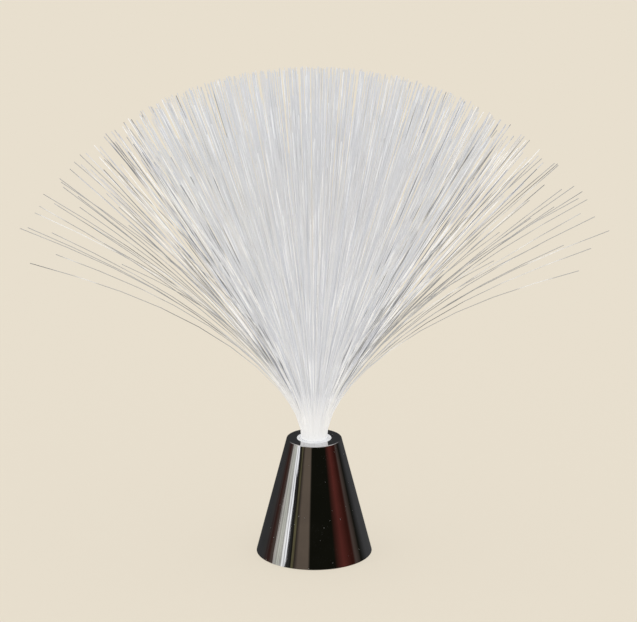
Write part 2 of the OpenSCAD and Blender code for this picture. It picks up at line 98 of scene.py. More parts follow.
def tint(red, green, blue):
    """A colour given in display values from 0 to 255, as the linear values that shaders take."""
    return linear(red / 255), linear(green / 255), linear(blue / 255), 1.0


def new_material(name):
    """A material with an empty node tree and a shader joined to its output."""
    material = bpy.data.materials.new(name)
    material.use_nodes = True
    tree = material.node_tree
    tree.nodes.clear()
    output = tree.nodes.new("ShaderNodeOutputMaterial")
    shader = tree.nodes.new("ShaderNodeBsdfPrincipled")
    tree.links.new(shader.outputs[0], output.inputs["Surface"])
    return material, tree, shader


def noise(tree, coordinates, scale, detail=3.0, stretch=None):
    """Fractal noise on the given coordinates, stretched along the axes if asked."""
    if stretch:
        mapping = tree.nodes.new("ShaderNodeMapping")
        mapping.inputs["Scale"].default_value = stretch
        tree.links.new(coordinates, mapping.inputs["Vector"])
        coordinates = mapping.outputs["Vector"]
    node = tree.nodes.new("ShaderNodeTexNoise")
    node.inputs["Scale"].default_value = scale
    node.inputs["Detail"].default_value = detail
    tree.links.new(coordinates, node.inputs["Vector"])
    return node.outputs["Fac"]


def ramp(tree, value, stops):
    """A colour ramp with the given (place, colour) stops."""
    node = tree.nodes.new("ShaderNodeValToRGB")
    elements = node.color_ramp.elements
    elements.remove(elements[1])
    elements[0].position, elements[0].color = stops[0]
    for place, colour in stops[1:]:
        elements.new(place).color = colour
    tree.links.new(value, node.inputs["Fac"])
    return node.outputs["Color"]


def spread(tree, value, low, high, to_low, to_high):
    """The value's range from low to high, carried over to the range from to_low to to_high."""
    node = tree.nodes.new("ShaderNodeMapRange")
    node.inputs["From Min"].default_value = low
    node.inputs["From Max"].default_value = high
    node.inputs["To Min"].default_value = to_low
    node.inputs["To Max"].default_value = to_high
    tree.links.new(value, node.inputs["Value"])
    return node.outputs["Result"]


def mixed(tree, factor, first, second):
    """Two colours mixed by a factor. Each is an output of another node or a plain colour."""
    node = tree.nodes.new("ShaderNodeMix")
    node.data_type = "RGBA"
    tree.links.new(factor, node.inputs["Factor"])
    for socket, colour in (("A", first), ("B", second)):
        if isinstance(colour, tuple):
            node.inputs[socket].default_value = colour
        else:
            tree.links.new(colour, node.inputs[socket])
    return node.outputs["Result"]


def combined(tree, operation, first, second):
    """The result of a sum, product or the like. The second value may be a number."""
    node = tree.nodes.new("ShaderNodeMath")
    node.operation = operation
    tree.links.new(first, node.inputs[0])
    if isinstance(second, float):
        node.inputs[1].default_value = second
    else:
        tree.links.new(second, node.inputs[1])
    return node.outputs[0]


def bump(tree, shader, height, distance, strength=1.0):
    """Small relief on the shader from a height between 0 and 1."""
    node = tree.nodes.new("ShaderNodeBump")
    node.inputs["Distance"].default_value = distance
    node.inputs["Strength"].default_value = strength
    tree.links.new(height, node.inputs["Height"])
    tree.links.new(node.outputs["Normal"], shader.inputs["Normal"])


def object_place(tree):
    """Coordinates in the piece's own space, in metres."""
    return tree.nodes.new("ShaderNodeTexCoord").outputs["Object"]


# ---------------------------------------------------------------------------
# Finishes
# ---------------------------------------------------------------------------

WHITE = (1.0, 1.0, 1.0, 1.0)
BLACK = (0.0, 0.0, 0.0, 1.0)


# How the tones' wandering compares with the fine grain: about eight times as slow
TONE_SHARE = 0.12


def grained_finish(name, dark, light, grain, rough, relief, metal=0.0, gloss=0.5):
    """A finish with two tones mixed by noise, a roughness that wanders with them, and the relief of
    a fine grain, which is relief metres high."""
    material, tree, shader = new_material(name)
    place = object_place(tree)
    tone = noise(tree, place, grain * TONE_SHARE, detail=4.0)
    fine = noise(tree, place, grain, detail=2.0)
    tree.links.new(ramp(tree, tone, [(0.3, dark), (0.7, light)]), shader.inputs["Base Color"])
    tree.links.new(spread(tree, tone, 0.25, 0.75, rough[0], rough[1]), shader.inputs["Roughness"])
    bump(tree, shader, fine, relief)
    shader.inputs["Metallic"].default_value = metal
    shader.inputs["Specular IOR Level"].default_value = gloss
    return material


def mirror_finish():
    """Plated plastic: a smooth mirror with the slight waves of the moulding below it, faint
    handling haze and a few specks of dust, which are dull where the mirror is polished."""
    material, tree, shader = new_material("mirror_plating")
    place = object_place(tree)
    haze = noise(tree, place, 60.0, detail=4.0)
    waves = noise(tree, place, 45.0, detail=1.0, stretch=(1.0, 1.0, 0.35))
    tone = ramp(tree, haze, [(0.3, tint(196, 197, 200)), (0.7, tint(212, 212, 214))])
    tree.links.new(tone, shader.inputs["Base Color"])
    polish = spread(tree, haze, 0.35, 0.8, 0.0, 0.035)
    specks = ramp(tree, noise(tree, place, 520.0, detail=1.0), [(0.765, BLACK), (0.79, WHITE)])
    dust = combined(tree, "MULTIPLY", specks, 0.45)
    tree.links.new(combined(tree, "MAXIMUM", polish, dust), shader.inputs["Roughness"])
    bump(tree, shader, waves, 0.0001, strength=0.35)
    shader.inputs["Metallic"].default_value = 1.0
    return material


def milky_finish(name, glow):
    """White moulded plastic that lets light through: soft, smooth and glowing a little inside."""
    material, tree, shader = new_material(name)
    place = object_place(tree)
    cloud = noise(tree, place, 180.0, detail=3.0)
    tone = ramp(tree, cloud, [(0.3, tint(236, 238, 241)), (0.7, tint(250, 250, 250))])
    tree.links.new(tone, shader.inputs["Base Color"])
    tree.links.new(spread(tree, cloud, 0.3, 0.7, 0.18, 0.32), shader.inputs["Roughness"])
    bump(tree, shader, noise(tree, place, 900.0, detail=2.0), 0.00003)
    # The glow is painted light: the plastic gives off a little light of its own, for the diodes'
    # light that passes through it
    shader.inputs["Emission Color"].default_value = WHITE
    shader.inputs["Emission Strength"].default_value = glow
    return material


# Shares of a fibre's length, from the bundle's face up: where it is palest, painted pale by the
# light that leaks out near the bundle, and the places at which that leaking light is given as a
# painted glow
PALE_FROM = 0.08
LEAK_PLACES = (0.07, 0.2, 0.6, 1.0)
# How far from the middle of the noise the tones of a painted glint begin and end: the dark ones
# paint the shade at a clear fibre's edges, the pale ones its highlights
PAINTED_GLINT_STEPS = (-0.18, -0.06, 0.06, 0.16)


def fibre_finish(name, dark, middle, light, sharp, pale_until, glow):
    """Clear fibre seen from outside: a grey body with long painted glints, pale ones for highlights
    and dark ones for the shade at a clear fibre's edges, which turn sharper with the given factor.
    Near the bundle it is painted paler, and along its length it glows with painted light, as light
    leaks out of it, most near the bundle. Across the map lies the fibre's own number, and up the
    map its length."""
    material, tree, shader = new_material(name)
    own_map = tree.nodes.new("ShaderNodeUVMap")
    own_map.uv_map = "fibre_map"
    parts = tree.nodes.new("ShaderNodeSeparateXYZ")
    tree.links.new(own_map.outputs["UV"], parts.inputs["Vector"])
    # The body's tones are painted glints: pale highlights and the dark shade at a clear fibre's
    # edges
    painted_glint = noise(tree, own_map.outputs["UV"], 1.0, detail=1.5, stretch=(900.0, 5.0, 1.0))
    steps = [0.5 + share / sharp for share in PAINTED_GLINT_STEPS]
    body = ramp(tree, painted_glint, list(zip(steps, (dark, middle, middle, light))))
    # Painted light: the body is painted paler near the bundle, and glows along its length, most
    # near the bundle
    lit = ramp(tree, parts.outputs["Y"], [(PALE_FROM, WHITE), (pale_until, BLACK)])
    tone = mixed(tree, lit, body, tint(246, 246, 246))
    tree.links.new(tone, shader.inputs["Base Color"])
    tree.links.new(spread(tree, painted_glint, 0.3, 0.7, 0.45, 0.2), shader.inputs["Roughness"])
    shader.inputs["IOR"].default_value = 1.49
    tree.links.new(tone, shader.inputs["Emission Color"])
    greys = [(share, share, share, 1.0) for share in glow]
    leak = ramp(tree, parts.outputs["Y"], list(zip(LEAK_PLACES, greys)))
    tree.links.new(leak, shader.inputs["Emission Strength"])
    return material


def fibre_ends_finish():
    """Clear resin with the cut fibre ends in it: bright round spots close together in a greyer
    ground. They are the cells round scattered points, drawn out along the fibres."""
    material, tree, shader = new_material("potted_fibre_ends")
    place = object_place(tree)
    cells = tree.nodes.new("ShaderNodeTexVoronoi")
    cells.inputs["Scale"].default_value = 2000.0
    cells.inputs["Randomness"].default_value = 0.35
    flatten = tree.nodes.new("ShaderNodeMapping")
    flatten.inputs["Scale"].default_value = (1.0, 1.0, 0.02)
    tree.links.new(place, flatten.inputs["Vector"])
    tree.links.new(flatten.outputs["Vector"], cells.inputs["Vector"])
    away = cells.outputs["Distance"]
    spots = ramp(tree, away, [(0.30, tint(250, 250, 252)), (0.46, tint(168, 170, 176))])
    tree.links.new(spots, shader.inputs["Base Color"])
    shader.inputs["Roughness"].default_value = 0.16
    bump(tree, shader, away, 0.00004)
    # Painted glow: the glued end gives off a little light of its own, as if lit by the diodes below
    shader.inputs["Emission Color"].default_value = WHITE
    shader.inputs["Emission Strength"].default_value = 0.25
    return material


def lens_finish(name, deep, pale):
    """Tinted clear lens of a diode: polished, with clouds of a deep and a pale tone in it."""
    material, tree, shader = new_material(name)
    place = object_place(tree)
    cloud = noise(tree, place, 320.0, detail=2.0)
    tree.links.new(ramp(tree, cloud, [(0.35, deep), (0.65, pale)]), shader.inputs["Base Color"])
    tree.links.new(spread(tree, cloud, 0.3, 0.7, 0.05, 0.14), shader.inputs["Roughness"])
    shader.inputs["Coat Weight"].default_value = 0.6
    shader.inputs["Emission Color"].default_value = pale
    shader.inputs["Emission Strength"].default_value = 0.35
    return material


def board_finish():
    """Lacquered circuit board: green ground with paler traces in two directions."""
    material, tree, shader = new_material("lacquered_board")
    place = object_place(tree)
    traces = tree.nodes.new("ShaderNodeTexBrick")
    traces.inputs["Scale"].default_value = 420.0
    traces.inputs["Mortar Size"].default_value = 0.06
    traces.inputs["Color1"].default_value = tint(22, 96, 52)
    traces.inputs["Color2"].default_value = tint(18, 84, 46)
    traces.inputs["Mortar"].default_value = tint(52, 132, 78)
    tree.links.new(place, traces.inputs["Vector"])
    tree.links.new(traces.outputs["Color"], shader.inputs["Base Color"])
    gloss = spread(tree, noise(tree, place, 300.0), 0.3, 0.7, 0.25, 0.42)
    tree.links.new(gloss, shader.inputs["Roughness"])
    bump(tree, shader, traces.outputs["Fac"], 0.00003)
    return material


# Shares of a cell's length, from its flat end to its nub, at which the wrap and its printed tones
# begin and the bare nub's end begins, and how wide their edges are
WRAP_FROM = 0.02
LINE_FROM = 0.705
BAND_FROM = 0.725
NUB_FROM = 0.957
WRAP_EDGE = 0.002
PRINT_EDGE = 0.005


def cell_finish(name, nub_to_right):
    """Battery cell: glossy green wrap, a pale line, a darker band towards the nub, and bare steel
    at both ends. A point's place along the cell runs from 0 at the flat end to 1 at the nub."""
    material, tree, shader = new_material(name)
    place = object_place(tree)
    parts = tree.nodes.new("ShaderNodeSeparateXYZ")
    tree.links.new(place, parts.inputs["Vector"])
    way = 1.0 if nub_to_right else -1.0
    end = -way * CELL_END_X * MM
    nub = way * CELL_NUB_X * MM
    along = spread(tree, parts.outputs["X"], end, nub, 0.0, 1.0)
    steel = tint(198, 198, 194)
    wrap = tint(54, 142, 88)
    line = tint(214, 218, 210)
    band = tint(24, 46, 36)
    stripes = ramp(tree, along, [
        (0.0, steel), (WRAP_FROM - WRAP_EDGE, steel),
        (WRAP_FROM, wrap), (LINE_FROM - PRINT_EDGE, wrap),
        (LINE_FROM, line), (BAND_FROM - PRINT_EDGE, line),
        (BAND_FROM, band), (NUB_FROM - WRAP_EDGE, band),
        (NUB_FROM, steel), (1.0, steel),
    ])
    tree.links.new(stripes, shader.inputs["Base Color"])
    bare = ramp(tree, along, [
        (0.0, WHITE), (WRAP_FROM - WRAP_EDGE, WHITE),
        (WRAP_FROM, BLACK), (NUB_FROM - WRAP_EDGE, BLACK),
        (NUB_FROM, WHITE),
    ])
    tree.links.new(bare, shader.inputs["Metallic"])
    gloss = spread(tree, noise(tree, place, 400.0), 0.3, 0.7, 0.2, 0.36)
    tree.links.new(gloss, shader.inputs["Roughness"])
    return material


FINISHES = {
    "mirror": mirror_finish(),
    "collar": milky_finish("milky_collar", glow=0.06),
    "screw": grained_finish(
        "zinc_plating", tint(168, 168, 170), tint(204, 204, 206),
        grain=2500.0, rough=(0.24, 0.42), relief=0.00002, metal=1.0,
    ),
    "contact": grained_finish(
        "nickel_plating", tint(188, 187, 180), tint(220, 219, 212),
        grain=1800.0, rough=(0.16, 0.34), relief=0.00002, metal=1.0,
    ),
    "board": board_finish(),
    "red_lens": lens_finish("red_lens_clear", tint(168, 30, 26), tint(240, 92, 84)),
    "green_lens": lens_finish("green_lens_clear", tint(26, 138, 52), tint(104, 232, 132)),
    "blue_lens": lens_finish("blue_lens_clear", tint(36, 62, 176), tint(112, 140, 246)),
    "epoxy": grained_finish(
        "black_epoxy_moulded", tint(30, 30, 32), tint(46, 46, 48),
        grain=3000.0, rough=(0.45, 0.65), relief=0.00003,
    ),
    "plate": grained_finish(
        "black_plastic_textured", tint(24, 24, 26), tint(38, 38, 40),
        grain=2200.0, rough=(0.42, 0.6), relief=0.00008,
    ),
    "rubber": grained_finish(
        "rubber_matt", tint(50, 50, 50), tint(68, 67, 66),
        grain=1400.0, rough=(0.75, 0.92), relief=0.00006, gloss=0.25,
    ),
    "knob": grained_finish(
        "pale_knob_plastic", tint(206, 206, 200), tint(226, 226, 222),
        grain=1600.0, rough=(0.3, 0.45), relief=0.00003,
    ),
    "print": grained_finish(
        "pale_print", tint(188, 188, 184), tint(214, 214, 210),
        grain=1500.0, rough=(0.5, 0.65), relief=0.00002,
    ),
    "red_insulation": grained_finish(
        "red_insulation_smooth", tint(158, 26, 20), tint(190, 42, 34),
        grain=900.0, rough=(0.24, 0.4), relief=0.00003,
    ),
    "black_insulation": grained_finish(
        "black_insulation_smooth", tint(26, 26, 27), tint(44, 44, 45),
        grain=900.0, rough=(0.24, 0.4), relief=0.00003,
    ),
    "cell_nub_right": cell_finish("cell_wrap_nub_right", nub_to_right=True),
    "cell_nub_left": cell_finish("cell_wrap_nub_left", nub_to_right=False),
    "fibre_ends": fibre_ends_finish(),
    "fibre_core": fibre_finish(
        "fibre_core", tint(196, 197, 199), tint(216, 217, 220), tint(244, 245, 247),
        sharp=1.0, pale_until=0.22, glow=(0.2, 0.3, 0.27, 0.16),
    ),
    # The outer and fringe fibres' darker greys and sharper glints are painted shade and painted
    # highlights: the dark edges and bright streaks of clear fibres
    "fibre_outer": fibre_finish(
        "fibre_outer", tint(132, 133, 137), tint(209, 210, 215), tint(255, 255, 255),
        sharp=1.7, pale_until=0.24, glow=(0.2, 0.28, 0.24, 0.14),
    ),
    "fibre_fringe": fibre_finish(
        "fibre_fringe", tint(134, 134, 135), tint(180, 180, 180), tint(250, 250, 250),
        sharp=1.0, pale_until=0.45, glow=(0.2, 0.26, 0.1, 0.04),
    ),
}

NODE_FINISHES = {
    "casing": "mirror",
    "light_holder": "collar",
    "holder_screws": "screw",
    "light_board": "board",
    "led_red": "red_lens",
    "led_green": "green_lens",
    "led_blue": "blue_lens",
    "control_chip": "epoxy",
    "resistors": "epoxy",
    "board_screws": "screw",
    "base_plate": "plate",
    "plate_screws": "screw",
    "feet": "rubber",
    "battery_door": "plate",
    "cell_1": "cell_nub_right",
    "cell_2": "cell_nub_left",
    "cell_3": "cell_nub_right",
    "contact_positive": "contact",
    "contact_negative": "contact",
    "contact_link_front": "contact",
    "contact_link_rear": "contact",
    "contact_spring_1": "contact",
    "contact_spring_2": "contact",
    "contact_spring_3": "contact",
    "switch_can": "contact",
    "switch_knob": "knob",
    "switch_screws": "screw",
    "wire_cell_to_switch": "red_insulation",
    "wire_switch_to_board": "red_insulation",
    "wire_board_to_cell": "black_insulation",
    "fibre_ferrule": "collar",
}


def finish_nodes():
    """Gives each solid that is carried over its own finish."""
    for node, finish in NODE_FINISHES.items():
        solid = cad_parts[node]
        if not solid.material_slots:
            solid.data.materials.append(FINISHES[finish])
        for holder in solid.material_slots:
            holder.material = FINISHES[finish]


finish_nodes()


# ---------------------------------------------------------------------------
# Surroundings
# ---------------------------------------------------------------------------

BACKGROUND = tint(232, 223, 206)

# Plain round tones of the dark room that the mirror sees
DARK = tint(15, 15, 10)
WALL = tint(45, 45, 45)
PALE_WALL = tint(55, 55, 55)
DIM_BROWN = tint(40, 35, 30)
BROWN = tint(65, 55, 50)
GREY_BROWN = tint(85, 75, 65)
OLIVE = tint(90, 85, 60)
RED = tint(75, 35, 30)
DARK_RED = tint(45, 20, 15)
FRAME = tint(105, 100, 95)
DIM_PANE = tint(150, 145, 140)
PANE = tint(175, 175, 165)
BRIGHT_PANE = tint(205, 205, 200)
SKY = tint(240, 240, 240)
CEILING = tint(215, 210, 205)
ROOM_TABLE = tint(170, 165, 150)
STREAKS = tint(55, 50, 45)

# Upright bands round the room, as (angle, tone), with the angle in whole degrees from the front,
# positive to the right in the picture. The sweep begins and ends at -90, so the tones meet there
# in an edge.
ROOM_BANDS = (
    (-180, WALL),
    (-120, WALL),
    (-102, DARK_RED),
    (-96, BROWN),
    (-90, DIM_PANE),
    (-80, PANE),
    (-73, PANE),
    (-71, FRAME),
    (-69, BRIGHT_PANE),
    (-62, SKY),
    (-59, SKY),
    (-58, WALL),
    (-48, DARK),
    (-45, OLIVE),
    (-41, DIM_BROWN),
    (-34, GREY_BROWN),
    (-13, GREY_BROWN),
    (-9, DARK),
    (42, DARK),
    (61, RED),
    (80, DARK_RED),
    (85, DARK_RED),
    (91, BROWN),
    (102, DIM_BROWN),
    (106, DARK),
    (127, PALE_WALL),
    (165, PALE_WALL),
)

# How much brighter the mirror sees the room, to make up for what the plating swallows
MIRROR_GAIN = 1.7

# How far the bands' edges waver and the window's rags reach, sideways, and how dark its streaks are
WAVER = 0.02
RAGS = 0.05
STREAK_STRENGTH = 0.5

# Heights of a direction, from -1 straight down to 1 straight up, between which the walls pass into
# the ceiling and the table, and its sideways parts between which the window's rags set in
CEILING_RISE = (0.5, 0.8)
TABLE_FALL = (-0.29, -0.42)
WINDOW_SIDE = (-0.6, -0.8)


def room_bands(tree, direction, side):
    """Bands of colour round the vertical axis. Their edges waver a little with height. Those of the
    window on the left are ragged, and dark streaks cross it, as if things stood before it. The
    direction is moved sideways by the wavering, and its angle round the axis picks the colour."""
    waver = noise(tree, direction, 9.0, detail=2.0, stretch=(0.2, 0.2, 4.0))
    waver = spread(tree, waver, 0.0, 1.0, -WAVER, WAVER)
    rags = noise(tree, direction, 40.0, detail=3.0, stretch=(0.3, 0.3, 6.0))
    rags = spread(tree, rags, 0.3, 0.7, -RAGS, RAGS)
    at_window = spread(tree, side, WINDOW_SIDE[0], WINDOW_SIDE[1], 0.0, 1.0)
    amount = combined(tree, "ADD", waver, combined(tree, "MULTIPLY", rags, at_window))
    shift = tree.nodes.new("ShaderNodeVectorMath")
    shift.operation = "MULTIPLY_ADD"
    tree.links.new(amount, shift.inputs[0])
    shift.inputs[1].default_value = (1.0, -1.0, 0.0)
    tree.links.new(direction, shift.inputs[2])
    sweep = tree.nodes.new("ShaderNodeTexGradient")
    sweep.gradient_type = "RADIAL"
    tree.links.new(shift.outputs["Vector"], sweep.inputs["Vector"])
    stops = sorted(((angle / 360.0 + 0.25) % 1.0, colour) for angle, colour in ROOM_BANDS)
    bands = ramp(tree, sweep.outputs["Fac"], stops)
    streaks = noise(tree, direction, 30.0, detail=3.0, stretch=(1.0, 1.0, 0.2))
    streaks = spread(tree, streaks, 0.5, 0.6, 0.0, STREAK_STRENGTH)
    return mixed(tree, combined(tree, "MULTIPLY", streaks, at_window), bands, STREAKS)


def background(tree, colour, strength=1.0):
    """A world shader of one colour, which is plain or comes from another node."""
    node = tree.nodes.new("ShaderNodeBackground")
    node.inputs["Strength"].default_value = strength
    if isinstance(colour, tuple):
        node.inputs["Color"].default_value = colour
    else:
        tree.links.new(colour, node.inputs["Color"])
    return node.outputs[0]


def switched(tree, ray, first, second):
    """The first shader, or the second one for the given kind of ray."""
    node = tree.nodes.new("ShaderNodeMixShader")
    tree.links.new(ray, node.inputs[0])
    tree.links.new(first, node.inputs[1])
    tree.links.new(second, node.inputs[2])
    return node.outputs[0]


def light_room():
    """World that gives even white light, shows the pale backdrop to the camera, and shows the
    mirror a dark room with upright bands, a light ceiling above and a pale table below."""
    world = bpy.data.worlds.new("studio")
    bpy.context.scene.world = world
    world.use_nodes = True
    tree = world.node_tree
    tree.nodes.clear()
    output = tree.nodes.new("ShaderNodeOutputWorld")
    path = tree.nodes.new("ShaderNodeLightPath")
    direction = tree.nodes.new("ShaderNodeTexCoord").outputs["Generated"]
    parts = tree.nodes.new("ShaderNodeSeparateXYZ")
    tree.links.new(direction, parts.inputs["Vector"])
    height = parts.outputs["Z"]
    above = spread(tree, height, CEILING_RISE[0], CEILING_RISE[1], 0.0, 1.0)
    below = spread(tree, height, TABLE_FALL[0], TABLE_FALL[1], 0.0, 1.0)
    walls = room_bands(tree, direction, parts.outputs["X"])
    room = mixed(tree, below, mixed(tree, above, walls, CEILING), ROOM_TABLE)
    mirrored = background(tree, room, MIRROR_GAIN)
    lit = switched(tree, path.outputs["Is Glossy Ray"], background(tree, WHITE), mirrored)
    seen = switched(tree, path.outputs["Is Camera Ray"], lit, background(tree, BACKGROUND))
    tree.links.new(seen, output.inputs["Surface"])


light_room()


# How much of the table that the camera sees is the plain backdrop colour, and not lit and shaded
PLAIN_SHARE = 0.7


def floor_finish():
    """Pale matt table in the backdrop's colour, with a soft shadow under the lamp. It isn't there
    from below, nor for the mirror, which has the room's own pale table."""
    material = bpy.data.materials.new("pale_table")
    material.use_nodes = True
    tree = material.node_tree
    tree.nodes.clear()
    output = tree.nodes.new("ShaderNodeOutputMaterial")
    path = tree.nodes.new("ShaderNodeLightPath")
    matt = tree.nodes.new("ShaderNodeBsdfDiffuse")
    matt.inputs["Color"].default_value = BACKGROUND
    plain = tree.nodes.new("ShaderNodeEmission")
    plain.inputs["Color"].default_value = BACKGROUND
    clear = tree.nodes.new("ShaderNodeBsdfTransparent")
    plain_share = combined(tree, "MULTIPLY", path.outputs["Is Camera Ray"], PLAIN_SHARE)
    seen = switched(tree, plain_share, matt.outputs[0], plain.outputs[0])
    from_below = tree.nodes.new("ShaderNodeNewGeometry").outputs["Backfacing"]
    absent = combined(tree, "MAXIMUM", from_below, path.outputs["Is Shadow Ray"])
    absent = combined(tree, "MAXIMUM", absent, path.outputs["Is Glossy Ray"])
    tree.links.new(switched(tree, absent, seen, clear.outputs[0]), output.inputs["Surface"])
    return material


# ---------------------------------------------------------------------------
# Mesh makers
# ---------------------------------------------------------------------------

def put_in_scene(name, points, faces, finish, body=None):
    """A smooth mesh from points in millimetres and faces, at the origin, riding on its body."""
    mesh = bpy.data.meshes.new(name)
    mesh.from_pydata((np.asarray(points) * MM).tolist(), [], faces)
    mesh.polygons.foreach_set("use_smooth", np.full(len(faces), True))
    mesh.materials.append(finish)
    mesh.update()
    piece = bpy.data.objects.new(name, mesh)
    bpy.context.scene.collection.objects.link(piece)
    if body:
        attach(piece, body)
    return piece


def turned(profile):
    """Points and faces of a profile of (radius, height) pairs turned about the vertical axis: a
    point lies at radius times the cosine and sine of its turn. The profile runs with the outside
    on its right. A radius of 0 gives a single pole point."""
    profile = np.asarray(profile, float)
    turn = np.linspace(0.0, 2.0 * np.pi, ROUND_STEPS, endpoint=False)
    ring = np.stack([np.cos(turn), np.sin(turn)], 1)
    counts = np.where(profile[:, 0] == 0.0, 1, ROUND_STEPS)
    starts = np.concatenate([[0], np.cumsum(counts)[:-1]])
    points = np.concatenate([
        np.concatenate([ring[:count] * radius, np.full((count, 1), height)], 1)
        for (radius, height), count in zip(profile, counts)
    ])
    along = np.where(counts[:, None] == 1, 0, np.arange(ROUND_STEPS)[None, :])
    index = starts[:, None] + along
    following = np.roll(index, -1, 1)
    quads = np.stack([index[:-1], following[:-1], following[1:], index[1:]], -1)
    return points, [tuple(dict.fromkeys(quad)) for quad in quads.reshape(-1, 4).tolist()]


# ---------------------------------------------------------------------------
# Fibres
# ---------------------------------------------------------------------------

FIBRE_COUNT = 1200
FIBRE_SIDES = 4

# Millimetres: the fibres' thickness, their length above the ferrule, how much shorter the
# outermost ones are, how much the lengths scatter, and the gaps that are left inside the bundle's
# rim and above its face
FIBRE_D = 0.5
FIBRE_L = 255.7
FRINGE_CUT = 4.0
FRINGE_CUT_POWER = 4
LENGTH_SCATTER = 1.4
RIM_GAP = 0.1
FACE_GAP = 0.2

# Degrees: how far the outermost fibres lean out near the bundle, how much further by their tips,
# how far a level fibre would droop, and how much the leans scatter. The powers say how the leans
# grow from the middle of the bundle, where a fibre's place is 0, to its rim, where it is 1.
CORE_LEAN = 32.8
CORE_POWER = 0.8
FRINGE_LEAN = 38.3
FRINGE_POWER = 22.0
DROOP = 4.0
LEAN_SCATTER = 0.6

# How much of their sideways leans the fibres at the front and back have
DEPTH_SHARE = 0.765
FRINGE_DEPTH_SHARE = 0.63

# Share of the length in which a fibre leans out, and the powers by which the further lean and the
# droop slow down towards the tip
BEND_SHARE = 0.08
FRINGE_EASE = 1.6
DROOP_EASE = 2

# Degrees from one fibre to the next round the bundle, and of the first one
GOLDEN_ANGLE = 137.508
FIRST_AZIMUTH = 307.0

# Steps in which a centre line is summed up, the shares of it at which a fibre has its rings, and
# the share of the whole fibre that is inside the bundle
LINE_STEPS = 80
RING_SHARES = (0.0, 0.03, 0.07, 0.12, 0.18, 0.26, 0.36, 0.48, 0.6, 0.73, 0.86, 1.0)
INSIDE_SHARE = 0.077

# Number of wisps, how strongly fibres gather in them at most, and the power by which the rim's
# fibres stay out of them
WISP_COUNT = 600
MOST_PULL = 0.5
LOOSE_POWER = 12

# Places in the bundle from which a fibre is middle, outer or fringe, and how far to a side the
# outer and fringe ones grow, as the cosine of their turn
MIDDLE_FROM = 0.55
OUTER_FROM = 0.84
FRINGE_FROM = 0.955
SIDE_FROM = 0.6

CHANCE_SEED = 7
SMALLEST_LEAN = 1e-6


def fan_out(chance):
    """Each fibre's place in the bundle and its leans. The place goes round by the golden angle,
    with the radius growing as the root of the number. The lean near the bundle grows with that
    radius, and the further lean by the tip grows only near the bundle's rim. Both are less to the
    front and back."""
    number = np.arange(FIBRE_COUNT)
    out = np.sqrt((number + 0.5) / FIBRE_COUNT)
    turn = np.radians(FIRST_AZIMUTH + number * GOLDEN_ANGLE)
    sideways, deep = np.cos(turn), np.sin(turn)
    lean = CORE_LEAN * out ** CORE_POWER * np.hypot(sideways, DEPTH_SHARE * deep)
    lean_side = lean * sideways + chance.normal(0.0, LEAN_SCATTER, FIBRE_COUNT)
    lean_depth = lean * deep + chance.normal(0.0, LEAN_SCATTER, FIBRE_COUNT)
    further = FRINGE_LEAN * out ** FRINGE_POWER * np.hypot(sideways, FRINGE_DEPTH_SHARE * deep)
    shorter = np.abs(chance.normal(0.0, LENGTH_SCATTER, FIBRE_COUNT))
    length = FIBRE_L - FRINGE_CUT * out ** FRINGE_CUT_POWER - shorter
    return out, turn, lean_side, lean_depth, further, length


def wisps(lean_side, lean_depth, chance):
    """For each fibre, the lean of the wisp that it gathers with: the nearest of some fibres that
    are picked by chance."""
    picked = chance.choice(FIBRE_COUNT, WISP_COUNT, replace=False)
    apart_side = lean_side[:, None] - lean_side[picked][None, :]
    apart_depth = lean_depth[:, None] - lean_depth[picked][None, :]
    nearest = picked[np.argmin(np.hypot(apart_side, apart_depth), 1)]
    return lean_side[nearest], lean_depth[nearest]


def run_out(start, lean_side, lean_depth, further, length, pull_side, pull_depth, pull):
    """Centre lines of fibres. The lean is 0 at the bundle and grows quickly to its first value. The
    further lean and the droop add to it, more slowly towards the tip, so that the last part is
    nearly straight. The line is the sum of small steps along it."""
    share = np.linspace(0.0, 1.0, LINE_STEPS + 1)[None, :]
    gather = pull[:, None] * share
    side = lean_side[:, None] + gather * (pull_side - lean_side)[:, None]
    depth = lean_depth[:, None] + gather * (pull_depth - lean_depth)[:, None]
    full = np.hypot(side, depth) + SMALLEST_LEAN
    lean = np.radians(
        full * (1.0 - np.exp(-share / BEND_SHARE))
        + further[:, None] * (1.0 - (1.0 - share) ** FRINGE_EASE)
        + DROOP * np.sin(np.radians(full)) * (1.0 - (1.0 - share) ** DROOP_EASE)
    )
    level = np.sin(lean)
    ahead = np.stack([level * side / full, level * depth / full, np.cos(lean)], -1)
    steps = (ahead[:, 1:] + ahead[:, :-1]) / 2.0 * (length[:, None, None] / LINE_STEPS)
    line = np.concatenate([np.zeros_like(ahead[:, :1]), np.cumsum(steps, 1)], 1)
    line += start[:, None, :]
    picked = np.round(np.array(RING_SHARES) * LINE_STEPS).astype(int)
    seat = start.copy()
    seat[:, 2] = SEAT_Z + FACE_GAP
    upright = np.zeros_like(seat)
    upright[:, 2] = 1.0
    return (
        np.concatenate([seat[:, None], line[:, picked]], 1),
        np.concatenate([upright[:, None], ahead[:, picked]], 1),
    )


